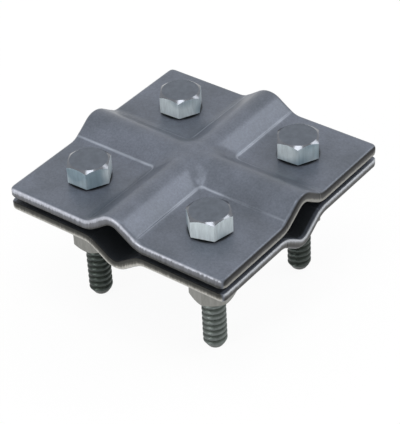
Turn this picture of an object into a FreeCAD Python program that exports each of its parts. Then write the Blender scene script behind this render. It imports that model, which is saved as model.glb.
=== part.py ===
"""Square clamp: two pressed square plates with crossed rod channels, drawn together by four bolts.

Millimetres, +Z up. The clamp stands on its four bolt tips at Z = 0, with the Z axis through the crossing.
One channel runs along X and the other along Y.
"""
import FreeCAD, Part
import math
import os

import Sketcher

Vector = FreeCAD.Vector

# Driving sizes: alias, value and what it measures
SIZES = [
    ("plate_side", 64.0, "side of both square plates"),
    ("sheet_thickness", 2.5, "steel sheet of the plates"),
    ("corner_radius", 1.5, "plan radius of the plates' corners"),
    ("edge_bevel", 0.7, "bevel in place of the rounded outer edge left by blanking"),
    ("channel_height", 4.3, "rise of a channel above the plate's flats"),
    ("flank_angle", 35.0, "slope of a channel's straight flanks, degrees"),
    ("crest_radius", 5.3, "outer radius along a channel's crest"),
    ("foot_radius", 5.0, "outer radius where a flank meets the flats"),
    ("crease_radius", 3.0, "outer radius where the flanks of both channels meet"),
    ("plate_gap", 1.6, "space between the two plates' flats"),
    ("bolt_inset", 14.0, "bolt axes inside the plates' sides"),
    ("hole_clearance", 0.3, "radial room round a bolt in a plate"),
    ("bolt_diameter", 6.0, "bolt's outside diameter"),
    ("bolt_length", 35.0, "bolt from under its head to its tip"),
    ("head_width", 10.0, "bolt head across its flats"),
    ("head_height", 5.5, "height of a bolt's head"),
    ("crown_inset", 0.25, "flat crown inside the flats of a head"),
    ("crown_angle", 30.0, "chamfer of a head's corners, degrees"),
    ("nut_width", 10.0, "nut across its flats"),
    ("nut_height", 7.8, "nut from face to face"),
    ("nut_clearance", 0.05, "radial room between a nut's bore and its bolt"),
    ("washer_diameter", 12.0, "outside diameter of a flat washer"),
    ("washer_thickness", 1.6, "thickness of a flat washer"),
    ("washer_clearance", 0.2, "radial room between a flat washer and its bolt"),
    ("spring_width", 2.5, "radial width of a spring washer's section"),
    ("spring_height", 3.8, "free height of a spring washer"),
    ("spring_clearance", 0.1, "radial room between a spring washer and its bolt"),
    ("spring_slit", 0.8, "width of a spring washer's slit"),
    ("spring_slant", 1.6, "sideways run of that slit from face to face"),
]

# Sizes that follow from the driving ones: alias, formula and what it measures
DERIVED = [
    ("bolt_pitch", "plate_side - 2 * bolt_inset", "square pitch of the four bolts"),
    ("channel_half_width",
     "(crest_radius + foot_radius) * tan(flank_angle / 2) + channel_height / tan(flank_angle)",
     "from the channel's middle to the end of its foot"),
]

# Bolt places as signs of half the pitch, with the turn of each head and nut in degrees
STATIONS = [
    ("left", -1, -1, 1.8, -5.0),
    ("front", 1, -1, 17.1, -21.5),
    ("right", 1, 1, 3.7, 12.0),
    ("back", -1, 1, 2.2, 25.0),
]

doc = FreeCAD.newDocument("square_clamp")
size = {alias: value for alias, value, meaning in SIZES}


def make_sheet():
    sheet = doc.addObject("Spreadsheet::Sheet", "Sizes")
    rows = [(alias, str(value), meaning) for alias, value, meaning in SIZES]
    rows += [(alias, "=" + formula, meaning) for alias, formula, meaning in DERIVED]
    for row, (alias, content, meaning) in enumerate(rows, start=1):
        sheet.set("A%d" % row, alias)
        sheet.set("B%d" % row, content)
        sheet.set("C%d" % row, meaning)
        sheet.setAlias("B%d" % row, alias)
    doc.recompute()
    for alias, formula, meaning in DERIVED:
        size[alias] = float(sheet.get(alias))


def new_body(name):
    body = doc.addObject("PartDesign::Body", name)
    body.Label = name
    return body


def new_sketch(body, name, role):
    plane = [item for item in body.Origin.OriginFeatures if item.Role == role][0]
    sketch = body.newObject("Sketcher::SketchObject", name)
    sketch.AttachmentSupport = (plane, [""])
    sketch.MapMode = "FlatFace"
    return sketch


def constrain(sketch, kind, *where, expression=None):
    index = sketch.addConstraint(Sketcher.Constraint(kind, *where))
    if expression:
        sketch.setExpression("Constraints[%d]" % index, expression)


def line(sketch, start, end):
    return sketch.addGeometry(Part.LineSegment(Vector(*start, 0), Vector(*end, 0)), False)


def circle(sketch, radius, expression, construction=False):
    shape = Part.Circle(Vector(0, 0, 0), Vector(0, 0, 1), radius)
    index = sketch.addGeometry(shape, construction)
    constrain(sketch, "Coincident", index, 3, -1, 1)
    constrain(sketch, "Radius", index, radius, expression=expression)
    return index


def polygon(sketch, corners):
    """Closed run of straight lines; returns their indices."""
    ends = corners[1:] + corners[:1]
    lines = [line(sketch, start, end) for start, end in zip(corners, ends)]
    for first, second in zip(lines, lines[1:] + lines[:1]):
        constrain(sketch, "Coincident", first, 2, second, 1)
    return lines


def hexagon(sketch, width, alias):
    radius = width / math.sqrt(3)
    turns = [math.radians(60 * step) for step in range(6)]
    sides = polygon(sketch, [(radius * math.cos(a), radius * math.sin(a)) for a in turns])
    ring = circle(sketch, radius, "Sizes.%s / sqrt(3)" % alias, construction=True)
    for side in sides:
        constrain(sketch, "PointOnObject", side, 1, ring)
    for side in sides[1:-1]:
        constrain(sketch, "Equal", sides[0], side)
    constrain(sketch, "PointOnObject", sides[0], 1, -1)


def square(sketch, side, expression):
    half = side / 2
    sides = polygon(sketch, [(-half, -half), (half, -half), (half, half), (-half, half)])
    for side_line in sides[0::2]:
        constrain(sketch, "Horizontal", side_line)
    for side_line in sides[1::2]:
        constrain(sketch, "Vertical", side_line)
    constrain(sketch, "Symmetric", sides[0], 1, sides[2], 1, -1, 1)
    constrain(sketch, "Equal", sides[0], sides[1])
    constrain(sketch, "DistanceX", sides[0], 1, sides[0], 2, side, expression=expression)


def pad(body, sketch, expression, downward=False, symmetric=False):
    feature = body.newObject("PartDesign::Pad", sketch.Name + "_pad")
    feature.Profile = sketch
    feature.setExpression("Length", expression)
    feature.Reversed = downward
    feature.Midplane = symmetric
    doc.recompute()
    return feature


def pocket(body, sketch):
    """Cut through the whole body, to one side of the sketch."""
    feature = body.newObject("PartDesign::Pocket", sketch.Name + "_pocket")
    feature.Profile = sketch
    feature.Type = "ThroughAll"
    before = body.Shape.Volume
    doc.recompute()
    if body.Shape.Volume > before - 1e-6:
        raise ValueError("%s cuts nothing" % feature.Name)
    return feature


def edge_names(shape, chosen):
    return ["Edge%d" % (index + 1) for index, edge in enumerate(shape.Edges) if chosen(edge)]


def round_edges(body, name, chosen, expression):
    base = body.Tip
    feature = body.newObject("PartDesign::Fillet", name)
    feature.Base = (base, edge_names(base.Shape, chosen))
    feature.setExpression("Radius", expression)
    doc.recompute()
    return feature


def bevel_edges(body, name, chosen, expression):
    base = body.Tip
    feature = body.newObject("PartDesign::Chamfer", name)
    feature.Base = (base, edge_names(base.Shape, chosen))
    feature.setExpression("Size", expression)
    doc.recompute()
    return feature


def channel_profile(body, name, role, inner):
    """Cross-section of a channel: foot arc, flank, crest arc, flank and foot arc over a straight base."""
    shift = size["sheet_thickness"] if inner else 0.0
    crest = size["crest_radius"] - shift
    foot = size["foot_radius"] + shift
    width = size["channel_half_width"]
    slope = math.radians(size["flank_angle"])
    crest_centre = size["channel_height"] - size["crest_radius"]
    foot_centre = size["foot_radius"]
    low = -2 * size["sheet_thickness"] - shift
    up_x = width - foot * math.sin(slope)
    up_y = foot_centre - foot * math.cos(slope)
    top_x = crest * math.sin(slope)
    top_y = crest_centre + crest * math.cos(slope)
    sketch = new_sketch(body, name, role)

    def arc(centre, radius, start, end):
        ring = Part.Circle(Vector(*centre, 0), Vector(0, 0, 1), radius)
        return sketch.addGeometry(Part.ArcOfCircle(ring, start, end), False)

    down = -math.pi / 2
    up = math.pi / 2
    foot_right = arc((width, foot_centre), foot, down - slope, down)
    flank_right = line(sketch, (up_x, up_y), (top_x, top_y))
    crest_arc = arc((0, crest_centre), crest, up - slope, up + slope)
    flank_left = line(sketch, (-top_x, top_y), (-up_x, up_y))
    foot_left = arc((-width, foot_centre), foot, down, down + slope)
    side_left = line(sketch, (-width, foot_centre - foot), (-width, low))
    bottom = line(sketch, (-width, low), (width, low))
    side_right = line(sketch, (width, low), (width, foot_centre - foot))

    constrain(sketch, "Tangent", foot_right, 1, flank_right, 1)
    constrain(sketch, "Tangent", flank_right, 2, crest_arc, 1)
    constrain(sketch, "Tangent", crest_arc, 2, flank_left, 1)
    constrain(sketch, "Tangent", flank_left, 2, foot_left, 2)
    constrain(sketch, "Coincident", foot_left, 1, side_left, 1)
    constrain(sketch, "Coincident", side_left, 2, bottom, 1)
    constrain(sketch, "Coincident", bottom, 2, side_right, 1)
    constrain(sketch, "Coincident", side_right, 2, foot_right, 2)
    constrain(sketch, "Vertical", side_left)
    constrain(sketch, "Vertical", side_right)
    constrain(sketch, "Horizontal", foot_left, 3, foot_right, 3)
    constrain(sketch, "Vertical", foot_left, 3, foot_left, 1)
    constrain(sketch, "Vertical", foot_right, 3, foot_right, 2)
    constrain(sketch, "PointOnObject", crest_arc, 3, -2)
    constrain(sketch, "Symmetric", bottom, 1, bottom, 2, -2)
    constrain(sketch, "Equal", foot_left, foot_right)

    sheet_shift = " %s Sizes.sheet_thickness"
    crest_words = "Sizes.crest_radius" + (sheet_shift % "-" if inner else "")
    foot_words = "Sizes.foot_radius" + (sheet_shift % "+" if inner else "")
    low_words = "%d * Sizes.sheet_thickness" % (3 if inner else 2)
    constrain(sketch, "Radius", crest_arc, crest, expression=crest_words)
    constrain(sketch, "Radius", foot_right, foot, expression=foot_words)
    constrain(sketch, "DistanceX", bottom, 1, bottom, 2, 2 * width,
              expression="2 * Sizes.channel_half_width")
    constrain(sketch, "DistanceY", bottom, 1, -1, 1, -low, expression=low_words)
    constrain(sketch, "DistanceY", bottom, 1, foot_right, 3, foot_centre - low,
              expression=low_words + " + Sizes.foot_radius")
    constrain(sketch, "DistanceY", bottom, 1, crest_arc, 3, crest_centre - low,
              expression=low_words + " + Sizes.channel_height - Sizes.crest_radius")
    return sketch


def on_crease(edge):
    """True for an edge along which the flanks of the two channels meet."""
    middle = edge.valueAt((edge.FirstParameter + edge.LastParameter) / 2)
    diagonal = abs(abs(middle.x) - abs(middle.y)) < 1e-4
    inside = 1e-4 < abs(middle.x) < size["channel_half_width"]
    return diagonal and inside and middle.z > 1e-3


def crossed_block(name, inner):
    """Block with both channels standing on it; the inner one is the space that the sheet is pressed over."""
    shift = size["sheet_thickness"] if inner else 0.0
    spare = " + 2 * Sizes.sheet_thickness" if inner else ""
    side = size["plate_side"] + 2 * shift
    body = new_body(name)
    slab = new_sketch(body, name + "_slab", "XY_Plane")
    square(slab, side, "Sizes.plate_side" + spare)
    if inner:
        slab.setExpression("AttachmentOffset.Base.z", "-Sizes.sheet_thickness")
    pad(body, slab, "2 * Sizes.sheet_thickness", downward=True)
    for axis, role in (("y", "XZ_Plane"), ("x", "YZ_Plane")):
        profile = channel_profile(body, "%s_channel_%s" % (name, axis), role, inner)
        pad(body, profile, "Sizes.plate_side" + spare, symmetric=True)
    return body


def upright_corner(edge):
    ends = [vertex.Point for vertex in edge.Vertexes]
    half = size["plate_side"] / 2
    outside = all(abs(abs(p.x) - half) < 1e-4 and abs(abs(p.y) - half) < 1e-4 for p in ends)
    return outside and abs(ends[0].z - ends[1].z) > 1e-3


def outer_rim(edge):
    """True for an edge along the outside of the block's upper surface."""
    half = size["plate_side"] / 2
    low = -size["sheet_thickness"]
    points = [edge.valueAt(p) for p in (edge.FirstParameter, edge.LastParameter)]
    points.append(edge.valueAt((edge.FirstParameter + edge.LastParameter) / 2))
    if min(p.z for p in points) < low / 2:
        return False
    corner = half - size["corner_radius"]

    def outside(p):
        along = max(abs(p.x), abs(p.y)) > half - 1e-4
        round_corner = min(abs(p.x), abs(p.y)) > corner - 1e-4
        return along or round_corner

    return all(outside(p) for p in points)


def bolt_holes(body, name):
    sketch = new_sketch(body, name, "XY_Plane")
    half = size["bolt_pitch"] / 2
    radius = size["bolt_diameter"] / 2 + size["hole_clearance"]
    for station, east, north, head_turn, nut_turn in STATIONS:
        ring = Part.Circle(Vector(east * half, north * half, 0), Vector(0, 0, 1), radius)
        hole = sketch.addGeometry(ring, False)
        first, second = ((hole, 3), (-1, 1)) if east < 0 else ((-1, 1), (hole, 3))
        constrain(sketch, "DistanceX", *first, *second, half, expression="Sizes.bolt_pitch / 2")
        first, second = ((hole, 3), (-1, 1)) if north < 0 else ((-1, 1), (hole, 3))
        constrain(sketch, "DistanceY", *first, *second, half, expression="Sizes.bolt_pitch / 2")
        constrain(sketch, "Radius", hole, radius,
                  expression="Sizes.bolt_diameter / 2 + Sizes.hole_clearance")
    pocket(body, sketch)


def make_plate(name, height, turned):
    """Pressed plate, outer face up; the lower plate is the same pressing turned over."""
    outer = crossed_block(name + "_outer", inner=False)
    round_edges(outer, name + "_crease", on_crease, "Sizes.crease_radius")
    round_edges(outer, name + "_corners", upright_corner, "Sizes.corner_radius")
    bevel_edges(outer, name + "_rim", outer_rim, "Sizes.edge_bevel")
    bolt_holes(outer, name + "_holes")
    hollow = crossed_block(name + "_hollow", inner=True)
    plate = doc.addObject("Part::Cut", name)
    plate.Label = name
    plate.Base = outer
    plate.Tool = hollow
    rotation = FreeCAD.Rotation(Vector(1, 0, 0), 180 if turned else 0)
    plate.Placement = FreeCAD.Placement(Vector(0, 0, 0), rotation)
    plate.setExpression("Placement.Base.z", height)
    return plate


def cut_crown(body, name):
    """Groove that chamfers the corners of a bolt's head at its top."""
    sketch = new_sketch(body, name, "XZ_Plane")
    start = size["head_width"] / 2 - size["crown_inset"]
    reach = size["head_width"]
    drop = (reach - start) * math.tan(math.radians(size["crown_angle"]))
    level = size["head_height"]
    level_side, outer_side, slope = polygon(sketch, [(start, level), (reach, level), (reach, level - drop)])
    constrain(sketch, "Horizontal", level_side)
    constrain(sketch, "Vertical", outer_side)
    constrain(sketch, "DistanceX", -1, 1, level_side, 1, start,
              expression="Sizes.head_width / 2 - Sizes.crown_inset")
    constrain(sketch, "DistanceX", -1, 1, level_side, 2, reach, expression="Sizes.head_width")
    constrain(sketch, "DistanceY", -1, 1, level_side, 1, level, expression="Sizes.head_height")
    constrain(sketch, "DistanceY", outer_side, 2, outer_side, 1, drop,
              expression="(Sizes.head_width / 2 + Sizes.crown_inset) * tan(Sizes.crown_angle)")
    feature = body.newObject("PartDesign::Groove", name + "_groove")
    feature.Profile = sketch
    feature.ReferenceAxis = (sketch, ["V_Axis"])
    feature.Angle = 360
    before = body.Shape.Volume
    doc.recompute()
    if body.Shape.Volume > before - 1e-6:
        raise ValueError("%s cuts nothing" % feature.Name)


def make_bolt(name, turn):
    """Hexagon head bolt; its own origin is under the head, on its axis."""
    body = new_body(name)
    head = new_sketch(body, name + "_head", "XY_Plane")
    hexagon(head, size["head_width"], "head_width")
    pad(body, head, "Sizes.head_height")
    cut_crown(body, name + "_crown")
    shank = new_sketch(body, name + "_shank", "XY_Plane")
    circle(shank, size["bolt_diameter"] / 2, "Sizes.bolt_diameter / 2")
    pad(body, shank, "Sizes.bolt_length", downward=True)
    turn_about_axis(body, turn)
    return body


def make_nut(name, turn):
    """Hexagon nut; its own origin is on its upper face."""
    body = new_body(name)
    outline = new_sketch(body, name + "_outline", "XY_Plane")
    hexagon(outline, size["nut_width"], "nut_width")
    pad(body, outline, "Sizes.nut_height", downward=True)
    bore = new_sketch(body, name + "_bore", "XY_Plane")
    radius = size["bolt_diameter"] / 2 + size["nut_clearance"]
    circle(bore, radius, "Sizes.bolt_diameter / 2 + Sizes.nut_clearance")
    pocket(body, bore)
    turn_about_axis(body, turn)
    return body


def make_flat_washer(name):
    """Flat washer; its own origin is on its upper face."""
    body = new_body(name)
    outline = new_sketch(body, name + "_outline", "XY_Plane")
    circle(outline, size["washer_diameter"] / 2, "Sizes.washer_diameter / 2")
    circle(outline, size["bolt_diameter"] / 2 + size["washer_clearance"],
           "Sizes.bolt_diameter / 2 + Sizes.washer_clearance")
    pad(body, outline, "Sizes.washer_thickness", downward=True)
    return body


def make_spring_washer(name):
    """Split ring of a spring washer's free height, with an oblique slit; its origin is on its upper face."""
    body = new_body(name)
    outline = new_sketch(body, name + "_outline", "XY_Plane")
    inner = size["bolt_diameter"] / 2 + size["spring_clearance"]
    inner_words = "Sizes.bolt_diameter / 2 + Sizes.spring_clearance"
    circle(outline, inner, inner_words)
    circle(outline, inner + size["spring_width"], inner_words + " + Sizes.spring_width")
    pad(body, outline, "Sizes.spring_height", downward=True)
    width = size["spring_slit"]
    reach = (size["spring_slant"] + width) / 2
    low = -size["spring_height"]
    slit = new_sketch(body, name + "_slit", "XZ_Plane")
    corners = [(-reach, low), (width - reach, low), (reach, 0), (reach - width, 0)]
    lower, rising, upper, falling = polygon(slit, corners)
    constrain(slit, "Horizontal", lower)
    constrain(slit, "Horizontal", upper)
    constrain(slit, "PointOnObject", upper, 1, -1)
    constrain(slit, "Equal", lower, upper)
    constrain(slit, "DistanceX", lower, 1, lower, 2, width, expression="Sizes.spring_slit")
    constrain(slit, "DistanceY", lower, 1, -1, 1, -low, expression="Sizes.spring_height")
    reach_words = "(Sizes.spring_slant + Sizes.spring_slit) / 2"
    constrain(slit, "DistanceX", lower, 1, -1, 1, reach, expression=reach_words)
    constrain(slit, "DistanceX", -1, 1, upper, 1, reach, expression=reach_words)
    pocket(body, slit)
    return body


def turn_about_axis(body, turn):
    body.Placement = FreeCAD.Placement(Vector(0, 0, 0), FreeCAD.Rotation(Vector(0, 0, 1), turn))


def seat(body, east, north, height):
    """Seat a piece on its bolt's axis at a height worked out from the sheet."""
    body.setExpression("Placement.Base.x", "%d * Sizes.bolt_pitch / 2" % east)
    body.setExpression("Placement.Base.y", "%d * Sizes.bolt_pitch / 2" % north)
    body.setExpression("Placement.Base.z", height)


def check(nodes):
    for item in doc.Objects:
        if "Invalid" in item.State or "Error" in item.State:
            raise ValueError("%s is %s" % (item.Name, item.State))
    for node in nodes:
        shape = node.Shape
        if shape.isNull() or not shape.isValid():
            raise ValueError("%s has no valid shape" % node.Label)


make_sheet()
TOP = "Sizes.bolt_length"
UNDERSIDE = TOP + " - 2 * Sizes.sheet_thickness - Sizes.plate_gap"
UNDER_WASHER = UNDERSIDE + " - Sizes.washer_thickness"
UNDER_SPRING = UNDER_WASHER + " - Sizes.spring_height"

nodes = [make_plate("upper_plate", TOP, False), make_plate("lower_plate", UNDERSIDE, True)]
for station, east, north, head_turn, nut_turn in STATIONS:
    bolt = make_bolt("bolt_" + station, head_turn)
    seat(bolt, east, north, TOP)
    washer = make_flat_washer("flat_washer_" + station)
    seat(washer, east, north, UNDERSIDE)
    spring = make_spring_washer("spring_washer_" + station)
    seat(spring, east, north, UNDER_WASHER)
    nut = make_nut("nut_" + station, nut_turn)
    seat(nut, east, north, UNDER_SPRING)
    nodes += [bolt, washer, spring, nut]

doc.recompute()
check(nodes)
os.makedirs("parts", exist_ok=True)
for node in nodes:
    node.Shape.exportStep("parts/%s.step" % node.Label)
    box = node.Shape.BoundBox
    print("%-22s solids %d volume %9.2f  z %.2f to %.2f" % (
        node.Label, len(node.Shape.Solids), node.Shape.Volume, box.ZMin, box.ZMax))
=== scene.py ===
"""Look of a square clamp: two pressed plates, four hexagon bolts, their nuts and their washers."""
import math

import bmesh
import bpy
from mathutils import Matrix, Vector


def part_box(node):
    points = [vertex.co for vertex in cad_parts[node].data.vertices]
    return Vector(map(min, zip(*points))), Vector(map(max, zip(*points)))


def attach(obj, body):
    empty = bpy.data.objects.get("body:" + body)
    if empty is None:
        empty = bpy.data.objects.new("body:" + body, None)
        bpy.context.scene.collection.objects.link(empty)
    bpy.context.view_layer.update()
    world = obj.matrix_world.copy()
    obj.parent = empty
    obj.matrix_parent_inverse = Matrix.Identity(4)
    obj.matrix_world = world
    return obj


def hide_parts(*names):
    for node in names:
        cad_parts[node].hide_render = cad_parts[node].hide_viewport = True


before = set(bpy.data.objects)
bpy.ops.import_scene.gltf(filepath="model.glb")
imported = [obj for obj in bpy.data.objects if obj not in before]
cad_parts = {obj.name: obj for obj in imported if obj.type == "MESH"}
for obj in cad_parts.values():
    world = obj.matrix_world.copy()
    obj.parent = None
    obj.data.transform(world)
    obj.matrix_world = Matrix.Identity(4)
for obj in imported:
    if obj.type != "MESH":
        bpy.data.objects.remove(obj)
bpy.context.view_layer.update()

bl_info = {
    "name": "Square clamp",
    "version": (1, 0, 0),
    "blender": (4, 5, 0),
    "location": "View3D > Sidebar > Clamp",
    "description": "Builds a square clamp's plates, bolts, nuts and washers, and a stage to show them on",
    "category": "Object",
}

MM = 0.001
TINY = 1e-6
# Edges that turn by more than this stay sharp
SHARP_ANGLE = math.radians(20.0)
# Sides of a hole or a bearing face, and of a washer or a chamfer's cone
HOLE_SIDES, RING_SIDES = 64, 96

UPPER_LOW, UPPER_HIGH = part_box("upper_plate")
LOWER_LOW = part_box("lower_plate")[0]
BOLT_LOW, BOLT_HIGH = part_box("bolt_left")
NUT_LOW, NUT_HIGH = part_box("nut_left")
WASHER_LOW, WASHER_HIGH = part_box("flat_washer_left")
SPRING_LOW, SPRING_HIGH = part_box("spring_washer_left")

# The four bolts: the turn of each one's head and nut in degrees, and whether its thread is painted darker
# all over as shade
STATIONS = {
    "left": (1.8, -5.0, True),
    "front": (17.1, -21.5, False),
    "right": (3.7, 12.0, True),
    "back": (2.2, 25.0, True),
}


# Sizes and colours that a user may change

def length(name, description, default):
    return bpy.props.FloatProperty(name=name, description=description, default=default, min=0.0,
                                   precision=5, unit="LENGTH", subtype="DISTANCE")


def angle(name, description, degrees):
    return bpy.props.FloatProperty(name=name, description=description, default=math.radians(degrees),
                                   subtype="ANGLE")


def wattage(name, description, watts):
    return bpy.props.FloatProperty(name=name, description=description, default=watts, min=0.0, unit="POWER")


def paint(name, description, colour):
    return bpy.props.StringProperty(name=name, description=description, default=colour)


class ClampPlateSettings(bpy.types.PropertyGroup):
    """Sizes and colours of both pressed plates."""
    side: length("Side", "Side of the square plates", UPPER_HIGH.x - UPPER_LOW.x)
    sheet: length("Sheet", "Thickness of the sheet", 2.5 * MM)
    corner: length("Corner radius", "Plan radius of the plates' corners", 1.5 * MM)
    rim: length("Rim radius", "Rounding that blanking leaves on the outer edge", 1.0 * MM)
    burr: length("Inner rim radius", "Smaller rounding of the inner edge", 0.2 * MM)
    rise: length("Channel rise", "Height of a channel above the flats", 4.3 * MM)
    crest: length("Crest radius", "Outer radius along a channel's crest", 5.3 * MM)
    foot: length("Foot radius", "Outer radius where a flank meets the flats", 5.0 * MM)
    crease: length("Crease radius", "Outer radius where the two channels' flanks meet", 7.0 * MM)
    slope: angle("Flank slope", "Slope of a channel's straight flanks", 35.0)
    hole: length("Hole radius", "Radius of a bolt hole", 3.3 * MM)
    pad: length("Pad distance", "From a channel's middle to the pads coined flat round the bolts", 6.9 * MM)
    pad_corner: length("Pad corner", "Plan radius of a pad's inner corner", 1.3 * MM)
    pad_step: length("Pad step", "Drop at a pad's edge", 0.1 * MM)
    dark: paint("Darker zinc", "Tone of the duller patches of the plating", "#585E68")
    light: paint("Lighter zinc", "Tone of the brighter patches of the plating", "#686E7A")
    # Partly zinc rubbed bright and partly a painted highlight along the pads' edges
    rubbed: paint("Rubbed zinc", "Zinc rubbed bright along the pads' edges", "#A6ADB9")
    # Tone of the painted shade on the inner faces and of the painted shadow round each head
    painted_shade: paint("Painted shade", "Painted shade on the inner faces and painted shadow under the heads", "#1C1E1C")


class ClampFastenerSettings(bpy.types.PropertyGroup):
    """Sizes and colours of the bolts, nuts and washers."""
    pitch: length("Bolt pitch", "Side of the square on which the bolts stand", 36.0 * MM)
    diameter: length("Thread diameter", "Outside diameter of the thread", 6.0 * MM)
    depth: length("Thread depth", "Depth of the thread below its crests", 0.34 * MM)
    lead: length("Drawn thread pitch", "Distance from crest to crest", 1.65 * MM)
    tip: length("Tip taper", "Length of the tapered tip", 1.6 * MM)
    head_width: length("Head width", "Bolt head across its flats", 10.0 * MM)
    nut_width: length("Nut width", "Nut across its flats", 10.0 * MM)
    crown: length("Crown inset", "Flat crown inside the flats of a head", 0.3 * MM)
    nut_crown: length("Nut face inset", "Flat face inside the flats of a nut", 0.65 * MM)
    chamfer: angle("Chamfer", "Slope of the chamfer round a crown", 33.0)
    bearing: length("Bearing face", "Height of the round bearing face under a head", 0.5 * MM)
    bore_gap: length("Bore clearance", "Gap between a nut's bore and the thread", 0.05 * MM)
    countersink: length("Countersink", "Depth of the countersink at a nut's bore", 0.45 * MM)
    washer_hole: length("Flat washer hole", "Inner radius of a flat washer", 3.2 * MM)
    spring_hole: length("Spring washer hole", "Inner radius of a spring washer", 3.1 * MM)
    washer_sheet: length("Washer thickness", "Thickness of both kinds of washer", 1.6 * MM)
    washer_edge: length("Washer edge", "Radius along the edges of the washers", 0.2 * MM)
    # The pale sides of the heads are a painted highlight, and their darker crowns and chamfers painted
    # shade
    lit_side_colour: paint("Bright zinc", "Plating on the sides of the bolt heads", "#D2DCDF")
    film_colour: paint("Zinc film", "Thicker, bluer passivation on the sides of the bolt heads", "#8A9DA7")
    shaded_top_colour: paint("Head crown", "Plating on top of the bolt heads, darkened as painted shade", "#646A73")
    shaded_chamfer_colour: paint("Head chamfer", "Plating on the chamfers round the crowns", "#6E7177")
    # The darker grooves and the darker threads are painted shade
    thread_colour: paint("Thread zinc", "Plating on the crests of the rolled threads", "#6B716F")
    groove_shade_colour: paint("Thread groove", "Painted shade in the grooves of the threads", "#474D49")
    shaded_thread_colour: paint("Shaded thread", "Plating on the crests of the threads, darkened as painted shade", "#454B48")
    shaded_groove_colour: paint("Shaded groove", "Painted shade in the grooves of the darker threads", "#2B302C")
    # Painted shade for the recess under each head
    recess_shade_colour: paint("Oil", "Painted shade in the recess under each bolt head", "#0F1112")
    nut_colour: paint("Nut zinc", "Plating on the nuts", "#8A8A86")
    washer_colour: paint("Washer zinc", "Plating on the washers", "#808485")


class ClampStageSettings(bpy.types.PropertyGroup):
    """Camera, lamps and backdrop."""
    azimuth: angle("Azimuth", "Camera's direction round the clamp", 38.88)
    elevation: angle("Elevation", "Camera's height above the horizon", 37.23)
    roll: angle("Roll", "Turn of the camera about its own line of sight", -3.07)
    distance: length("Distance", "From the camera to the point it looks at", 393.35 * MM)
    target: bpy.props.FloatVectorProperty(
        name="Target", description="Point the camera looks at", size=3,
        default=(12.3 * MM, -14.26 * MM, 35.0 * MM), subtype="TRANSLATION", unit="LENGTH")
    lens: bpy.props.FloatProperty(name="Lens", description="Focal length", default=143.0, unit="CAMERA")
    ambient: bpy.props.FloatProperty(
        name="Ambient", description="Strength of the even light round the clamp", default=0.8, min=0.0)
    back_softbox: wattage("Back softbox", "Power of the softbox at the back right", 2.0)
    top_softbox: wattage("Top softbox", "Power of the softbox overhead", 1.8)
    front_softbox: wattage("Front softbox", "Power of the softbox at the front left", 2.4)
    backdrop: paint("Backdrop", "Colour behind the clamp", "#FFFFFF")


# Helpers

def linear(colour):
    """Linear RGBA of an sRGB hex colour."""
    parts = [int(colour[i:i + 2], 16) / 255 for i in (1, 3, 5)]
    parts = [c / 12.92 if c <= 0.04045 else ((c + 0.055) / 1.055) ** 2.4 for c in parts]
    return (*parts, 1.0)


def add_node(tree, kind, inputs=None, **settings):
    """Add a node with its settings. Inputs maps a socket's name or number to a value, or to what is linked
    to it: a socket, a node, which gives its first output, or a list of nodes."""
    node = tree.nodes.new(kind)
    for name, value in settings.items():
        setattr(node, name, value)
    for key, value in (inputs or {}).items():
        for item in value if isinstance(value, list) else [value]:
            if isinstance(item, bpy.types.Node):
                item = item.outputs[0]
            if isinstance(item, bpy.types.NodeSocket):
                tree.links.new(item, node.inputs[key])
            else:
                node.inputs[key].default_value = item
    return node


def new_material(name):
    material = bpy.data.materials.new(name)
    material.use_nodes = True
    material.node_tree.nodes.clear()
    return material, material.node_tree


def finish_material(tree, shader):
    add_node(tree, "ShaderNodeOutputMaterial", {"Surface": shader})


def new_tree(name, sizes, flags=(), placed=True, **others):
    """Geometry tree with an input for each size and flag; returns it and its inputs' sockets."""
    tree = bpy.data.node_groups.new(name, "GeometryNodeTree")
    tree.interface.new_socket("Geometry", in_out="OUTPUT", socket_type="NodeSocketGeometry")
    kinds = {**others, **dict.fromkeys(sizes, "Float"), **dict.fromkeys(flags, "Bool")}
    if placed:
        kinds.update(Place="Vector", Turn="Rotation", Material="Material")
    for label, kind in kinds.items():
        tree.interface.new_socket(label, in_out="INPUT", socket_type="NodeSocket" + kind)
    return tree, add_node(tree, "NodeGroupInput").outputs


def lifted(tree, geometry, height, turn=(0.0, 0.0, 0.0)):
    """Geometry turned and then moved up by a height."""
    move = add_node(tree, "ShaderNodeCombineXYZ", {"Z": height})
    return add_node(tree, "GeometryNodeTransform", {
        "Geometry": geometry, "Translation": move, "Rotation": turn})


def close_tree(tree, given, geometry):
    """End a tree in Transform Geometry, Realize Instances and Set Material."""
    placed = add_node(tree, "GeometryNodeTransform", {
        "Geometry": geometry, "Translation": given["Place"], "Rotation": given["Turn"]})
    real = add_node(tree, "GeometryNodeRealizeInstances", {"Geometry": placed})
    painted = add_node(tree, "GeometryNodeSetMaterial", {"Geometry": real, "Material": given["Material"]})
    add_node(tree, "NodeGroupOutput", {0: painted})


def add_object(name, data):
    thing = bpy.data.objects.new(name, data)
    bpy.context.scene.collection.objects.link(thing)
    return thing


def grow(name, tree, values):
    """Plain mesh object, at the origin, of what a geometry tree makes with these input values."""
    source = add_object(name + "_source", bpy.data.meshes.new(name + "_source"))
    modifier = source.modifiers.new("Grow", "NODES")
    modifier.node_group = tree
    for item in tree.interface.items_tree:
        if item.in_out == "INPUT":
            modifier[item.identifier] = values[item.name]
    graph = bpy.context.evaluated_depsgraph_get()
    mesh = bpy.data.meshes.new_from_object(source.evaluated_get(graph))
    source.modifiers.remove(modifier)
    bpy.data.objects.remove(source)
    mesh.name = name
    mesh.shade_smooth()
    mesh.set_sharp_from_angle(angle=SHARP_ANGLE)
    return add_object(name, mesh)


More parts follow.
